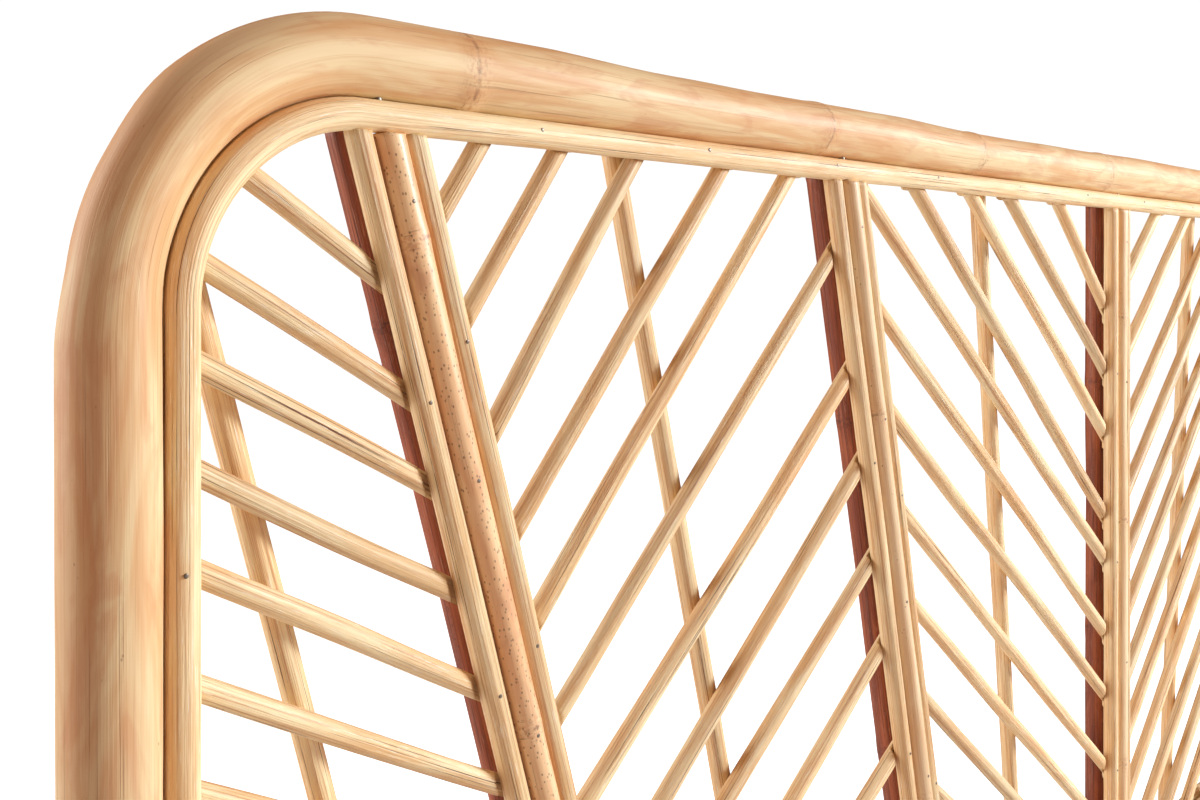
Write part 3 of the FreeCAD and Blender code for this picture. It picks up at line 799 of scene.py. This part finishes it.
add_pole("outer_frame_pole", OUTER, outer_look, "outer_cane", joints=arch_joints, thinner=outer_thinner)
add_pole("bottom_rail", OUTER, outer_look, "outer_cane")
for side in ("front", "back"):
    add_pole(f"{side}_border_pole", BORDER, border_look, "border_cane")
    add_pole(f"lower_{side}_border_pole", BORDER, border_look, "border_cane")
for rib in RIBS:
    for part in ("left_pole", "right_pole"):
        add_pole(f"{rib}_{part}", SIDE, peeled_look, "peeled_cane", against="front_border_pole")
    core_look = skin_look if rib in FLECKED_RIBS else pale_skin_look
    add_pole(f"{rib}_core_pole", CORE, core_look, "skin_cane", against="front_border_pole")
    # back poles get the darker copy of the cane colour: painted shade
    add_pole(f"{rib}_back_pole", BACK, shaded_back_look, "back_cane", against="back_border_pole")
for mid in MIDS:
    add_pole(mid, THIN, peeled_look, "peeled_cane", against="back_border_pole")

# ---------------------------------------------------------------- canes

border = ARCHES["front_border_pole"]
TONGUE_FRONT = border.y + border.radius
# a cane's rounded shoulder at a rib: its length, its largest gap to the side pole and its height
SHOULDER = 6 * MM
LARGEST_GAP = 1.5 * MM
SHOULDER_DEPTH = 6.5 * MM
END_ZONE = 34 * MM
USUAL_BOW = 0.9 * MM
BOW_LENGTH = 0.25

# farther than anything here
FAR = 1.0


def rib_reach(points, left, right):
    """How far each point is inside the side poles of a bay's two ribs; negative behind them."""
    inside = np.full(points.shape[:-1], FAR)
    for rib, sign in ((left, 1), (right, -1)):
        if rib is not None:
            half_front = rib_lines[rib].radius + 2 * side_lines[rib].radius
            offset = (points - rib_lines[rib].start) @ rib_lines[rib].across
            inside = np.minimum(inside, -sign * offset - half_front)
    return inside


def behind_round(inside, centre_y, radius):
    """How far forward a cane may reach where it is cut to the round of the pole in front of it."""
    over = np.clip(radius + inside, 0, radius)
    limit = centre_y + np.sqrt(radius**2 - over**2)
    return np.where(inside < 0, limit, -FAR)


def scarfed(left, right, gap):
    """Shapes a cane's ends: cut to the border's round, and at a rib a rounded shoulder and a thin tongue."""

    def shape(points):
        limit = behind_round(border_reach(points, "front_border_pole"), border.y, border.radius)
        inside = rib_reach(points, left, right) - gap
        share = np.clip(inside / SHOULDER, 0, 1)
        shoulder = TONGUE_FRONT - SHOULDER_DEPTH * np.sqrt(1 - (1 - share) ** 2)
        shoulder[inside >= SHOULDER] = -FAR
        points[..., 1] = np.maximum(points[..., 1], np.maximum(limit, shoulder))
        return points

    return shape


for number, bay in enumerate(BAYS):
    left = number - 1 if number > 0 else None
    right = number if number < len(RIBS) else None
    sticks = []
    bay_box = tuple(np.array(corner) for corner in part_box(bay))
    for solid in solids(bay):
        line = Straight(solid)
        bow = random.normal(0, USUAL_BOW) * min(1, line.length / BOW_LENGTH)
        ends = scarfed(left, right, random.uniform(0, LARGEST_GAP))
        sticks.append(build_stick(line, CANE, end_zone=END_ZONE, bow=bow, shape=ends, box=bay_box))
    object_from(f"{bay}_canes", sticks, peeled_look, [bay])

# ---------------------------------------------------------------- metal and plastic

HEAD_RADIUS = 1.0 * MM
HEAD_HEIGHT = 0.35 * MM
NAIL_SIDES = 14

# a pole's surface farther than this from a nail's head isn't the one that it is driven into
SAME_SURFACE = 2 * MM

# rays start here, in front of everything
RAY_START = -0.2


def surface_at(x, z):
    """How far forward the poles reach at a point of the front, or None beside them."""
    shapes = bpy.context.evaluated_depsgraph_get()
    hit, place, *_ = bpy.context.scene.ray_cast(shapes, Vector((x, RAY_START, z)), Vector((0, 1, 0)))
    return place.y if hit else None


def nail(solid):
    """A brad as turned wire: a low domed head on the pole's surface, a shank and a point."""
    low, high = solid.min(0), solid.max(0)
    x, z = (low[0] + high[0]) / 2, (low[2] + high[2]) / 2
    shank = (high[0] - low[0]) / 2
    face = surface_at(x, z)
    front = low[1] if face is None or abs(face - low[1]) > SAME_SURFACE else face
    front = max(front - 0.4 * HEAD_HEIGHT, cad_box[0][1])
    outline = [
        (front, 0.45 * HEAD_RADIUS),
        (front + 0.12 * HEAD_HEIGHT, 0.8 * HEAD_RADIUS),
        (front + 0.45 * HEAD_HEIGHT, HEAD_RADIUS),
        (front + HEAD_HEIGHT, HEAD_RADIUS),
        (front + 2 * HEAD_HEIGHT, shank),
        (high[1] - 3 * shank, shank),
        (high[1] - 0.2 * shank, 0.25 * shank),
    ]
    sides = NAIL_SIDES
    turns = np.arange(sides) * 2 * math.pi / sides
    rings = [
        np.stack([x + radius * np.cos(turns), np.full(sides, y), z + radius * np.sin(turns)], 1)
        for y, radius in outline
    ]
    ends = [[x, front, z], [x, high[1], z]]
    points = np.concatenate(rings + [ends])
    j = np.arange(sides)
    k = (j + 1) % sides
    quads = [
        (a + row * sides, b + row * sides, b + (row + 1) * sides, a + (row + 1) * sides)
        for row in range(len(rings) - 1)
        for a, b in zip(j, k)
    ]
    first, last = len(rings) * sides, len(rings) * sides + 1
    back = (len(rings) - 1) * sides
    fans = [(first, b, a) for a, b in zip(j, k)] + [(last, back + a, back + b) for a, b in zip(j, k)]
    plain = np.zeros((len(points), 3))
    return points, np.array(quads), fans, plain, plain


bpy.context.view_layer.update()
for name in ("rib_brads", "border_brads"):
    object_from(f"{name}_steel", [nail(solid) for solid in solids(name)], steel_look, [name])
for name in ("rail_screws", "rib_screws"):
    nodes[name].data.materials.clear()
    nodes[name].data.materials.append(steel_look)
for name in ("left_foot_glide", "right_foot_glide"):
    nodes[name].data.materials.clear()
    nodes[name].data.materials.append(glide_look)

# ---------------------------------------------------------------- studio

FLOOR_SIZE = 120.0
FLOOR_GREY = 0.78
FLOOR_GLOW = 1.05
BACKDROP = 1.05
WARM_FILL = (1.0, 0.5, 0.32, 1)
WARM_FILL_STRENGTH = 0.29
KEY_TINT = (0.91, 0.97, 1.0)


def make_floor():
    """A white sweep that reads as white as the backdrop, and still takes a soft shadow."""
    mesh = bpy.data.meshes.new("studio_floor")
    half = FLOOR_SIZE / 2
    corners = [(-half, -half, 0), (half, -half, 0), (half, half, 0), (-half, half, 0)]
    mesh.from_pydata(corners, [], [(0, 1, 2, 3)])
    t = Tree("studio_floor_look")
    t.surface.inputs["Base Color"].default_value = (FLOOR_GREY, FLOOR_GREY, FLOOR_GREY, 1)
    t.surface.inputs["Roughness"].default_value = 0.9
    t.surface.inputs["Emission Color"].default_value = (0.86, 0.93, 1.0, 1)
    seen = t.tree.nodes.new("ShaderNodeLightPath").outputs["Is Camera Ray"]
    t.link(t.maths("MULTIPLY", seen, FLOOR_GLOW), t.surface.inputs["Emission Strength"])
    mesh.materials.append(t.material)
    item = bpy.data.objects.new("studio_floor", mesh)
    bpy.context.scene.collection.objects.link(item)


def area_light(name, place, target, width, height, watts, tint=(1, 1, 1)):
    data = bpy.data.lights.new(name, "AREA")
    data.shape = "RECTANGLE"
    data.size = width
    data.size_y = height
    data.energy = watts
    data.color = tint
    item = bpy.data.objects.new(name, data)
    item.location = place
    item.rotation_euler = (Vector(target) - Vector(place)).to_track_quat("-Z", "Y").to_euler()
    bpy.context.scene.collection.objects.link(item)


def make_world():
    """White where the camera sees it; softer as a light."""
    world = bpy.data.worlds.new("studio")
    bpy.context.scene.world = world
    world.use_nodes = True
    tree = world.node_tree
    tree.nodes.clear()
    seen = tree.nodes.new("ShaderNodeBackground")
    seen.inputs["Strength"].default_value = BACKDROP
    lit = tree.nodes.new("ShaderNodeBackground")
    lit.inputs["Color"].default_value = WARM_FILL
    lit.inputs["Strength"].default_value = WARM_FILL_STRENGTH
    path = tree.nodes.new("ShaderNodeLightPath")
    mix = tree.nodes.new("ShaderNodeMixShader")
    out = tree.nodes.new("ShaderNodeOutputWorld")
    seen.inputs["Color"].default_value = (1, 1, 1, 1)
    tree.links.new(path.outputs["Is Camera Ray"], mix.inputs[0])
    tree.links.new(lit.outputs[0], mix.inputs[1])
    tree.links.new(seen.outputs[0], mix.inputs[2])
    tree.links.new(mix.outputs[0], out.inputs[0])


make_floor()
make_world()
area_light("key", (3.0, -2.8, 2.2), (-0.3, 0, 0.9), width=1.4, height=1.6, watts=275, tint=KEY_TINT)
area_light("rim", (-2.4, 1.7, 1.6), (-0.7, 0, 0.9), width=1.4, height=2.2, watts=55)

# the camera: its sensor and lens in millimetres, and its place against the outer pole's corner in metres
SENSOR, LENS = 36, 36.24
SHIFT = -0.1
LEFT_OF_LEG, IN_FRONT, BELOW_TOP = 0.1874, 0.4375, 0.1135
TURNED_RIGHT = 45.3

camera_data = bpy.data.cameras.new("camera")
camera = bpy.data.objects.new("camera", camera_data)
bpy.context.scene.collection.objects.link(camera)
camera_data.sensor_width = SENSOR
camera_data.lens = LENS
camera_data.shift_y = SHIFT
camera.location = (-OUTER_HALF - LEFT_OF_LEG, outer.y - IN_FRONT, outer_high.z - BELOW_TOP)
camera.rotation_euler = (math.radians(90), 0, math.radians(-TURNED_RIGHT))
bpy.context.scene.camera = camera
bpy.context.scene.view_settings.view_transform = "Standard"
